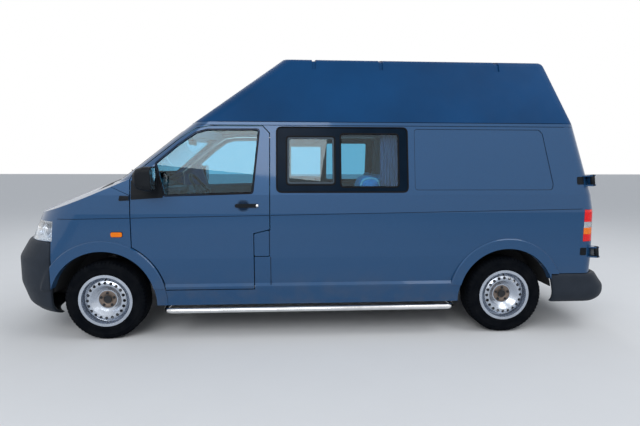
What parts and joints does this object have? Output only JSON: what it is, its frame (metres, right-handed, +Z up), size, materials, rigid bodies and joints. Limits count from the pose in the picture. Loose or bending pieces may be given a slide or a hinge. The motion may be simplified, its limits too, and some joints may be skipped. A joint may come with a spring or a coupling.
{
  "type": "camper van",
  "caption": "High-roof long van turned camper: hollow body with opening cab doors, twin back doors, lifting bonnet, steered front wheels and side bars.",
  "frame": {"origin": "on the floor under the middle of the van's box", "axes": "+X towards the tail along the length, +Y towards the van's right side, +Z up"},
  "size_m": [5.2896, 2.3, 2.44],
  "materials": {
    "body_paint": "dark slate metallic gloss",
    "underbody": "dark underseal",
    "window_frame": "black frame",
    "glass": "clear, faint tint",
    "dark_plastic": "grained black",
    "bumper_plastic": "grained dark grey",
    "lamp_clear": "clear lens over a bright reflector",
    "chassis_steel": "dark, dull",
    "engine_cast": "dull grey",
    "exhaust_steel": "dull steel",
    "bar_steel": "polished tube",
    "cab_plastic": "grained dark grey",
    "seat_fabric": "woven grey",
    "furniture_wood": "pale laminate",
    "tyre_rubber": "black rubber",
    "rim_silver": "silver enamel"
  },
  "bodies": {
    "body": {"floor_pan": "underbody", "bulkhead": "underbody", "wheelhouses": "underbody", "fuel_tank": "dark_plastic", "side_left": "body_paint", "side_right": "body_paint", "sliding_door": "body_paint", "window_frames": "window_frame", "fixed_glass": "glass", "roof_frame": "body_paint", "high_roof": "body_paint", "wings": "body_paint", "grille": "dark_plastic", "lamps": "lamp_clear", "front_bumper": "bumper_plastic", "rear_bumper": "bumper_plastic", "front_axle": "chassis_steel", "rear_axle": "chassis_steel", "engine_block": "engine_cast", "exhaust": "exhaust_steel", "side_bars": "bar_steel", "dashboard": "cab_plastic", "steering_wheel": "cab_plastic", "cab_seat_bases": "cab_plastic", "cushions": "seat_fabric", "camper_furniture": "furniture_wood"},
    "front_door_left": {"door_left": "body_paint", "door_left_glass": "glass", "door_left_fittings": "dark_plastic"},
    "front_door_right": {"door_right": "body_paint", "door_right_glass": "glass", "door_right_fittings": "dark_plastic"},
    "back_door_left": {"rear_door_left": "body_paint", "rear_glass_left": "glass"},
    "back_door_right": {"rear_door_right": "body_paint", "rear_glass_right": "glass"},
    "hood": {"bonnet": "body_paint"},
    "filler_flap": {"fuel_flap": "body_paint"},
    "steer_left": {"knuckle_left": "chassis_steel"},
    "steer_right": {"knuckle_right": "chassis_steel"},
    "wheel_front_left": {"tyre_front_left": "tyre_rubber", "rim_front_left": "rim_silver"},
    "wheel_front_right": {"tyre_front_right": "tyre_rubber", "rim_front_right": "rim_silver"},
    "wheel_rear_left": {"tyre_rear_left": "tyre_rubber", "rim_rear_left": "rim_silver"},
    "wheel_rear_right": {"tyre_rear_right": "tyre_rubber", "rim_rear_right": "rim_silver"}
  },
  "joints": [
    {"name": "steer_left", "type": "hinge", "parent": "body", "child": "steer_left", "pos_m": [-1.751, -0.73, 0.333], "axis": [0, 0, 1], "range_deg": [-35, 35]},
    {"name": "steer_right", "type": "hinge", "parent": "body", "child": "steer_right", "pos_m": [-1.751, 0.73, 0.333], "axis": [0, 0, 1], "range_deg": [-35, 35]},
    {"name": "roll_front_left", "type": "hinge", "parent": "steer_left", "child": "wheel_front_left", "pos_m": [-1.751, -0.814, 0.333], "axis": [0, -1, 0], "continuous": true},
    {"name": "roll_rear_left", "type": "hinge", "parent": "body", "child": "wheel_rear_left", "pos_m": [1.649, -0.814, 0.333], "axis": [0, -1, 0], "continuous": true},
    {"name": "roll_front_right", "type": "hinge", "parent": "steer_right", "child": "wheel_front_right", "pos_m": [-1.751, 0.814, 0.333], "axis": [0, -1, 0], "continuous": true},
    {"name": "roll_rear_right", "type": "hinge", "parent": "body", "child": "wheel_rear_right", "pos_m": [1.649, 0.814, 0.333], "axis": [0, -1, 0], "continuous": true},
    {"name": "open_front_left", "type": "hinge", "parent": "body", "child": "front_door_left", "pos_m": [-1.498, -0.941, 0.9], "axis": [0, 0, -1], "range_deg": [0, 68]},
    {"name": "open_front_right", "type": "hinge", "parent": "body", "child": "front_door_right", "pos_m": [-1.498, 0.941, 0.9], "axis": [0, 0, 1], "range_deg": [0, 68]},
    {"name": "open_back_left", "type": "hinge", "parent": "body", "child": "back_door_left", "pos_m": [2.42, -0.962, 0.72], "axis": [0.0938, -0.0453, -0.9946], "range_deg": [0, 250]},
    {"name": "open_back_right", "type": "hinge", "parent": "body", "child": "back_door_right", "pos_m": [2.42, 0.962, 0.72], "axis": [-0.0938, -0.0453, 0.9946], "range_deg": [0, 250]},
    {"name": "lift_hood", "type": "hinge", "parent": "body", "child": "hood", "pos_m": [-1.812, 0, 1.334], "axis": [0, 1, 0], "range_deg": [0, 55]},
    {"name": "open_filler_flap", "type": "hinge", "parent": "body", "child": "filler_flap", "pos_m": [-0.3895, -0.941, 0.8], "axis": [0, 0, 1], "range_deg": [0, 100]}
  ],
  "couplings": [
    {"joint": "steer_right", "follows": "steer_left", "ratio": 1}
  ]
}
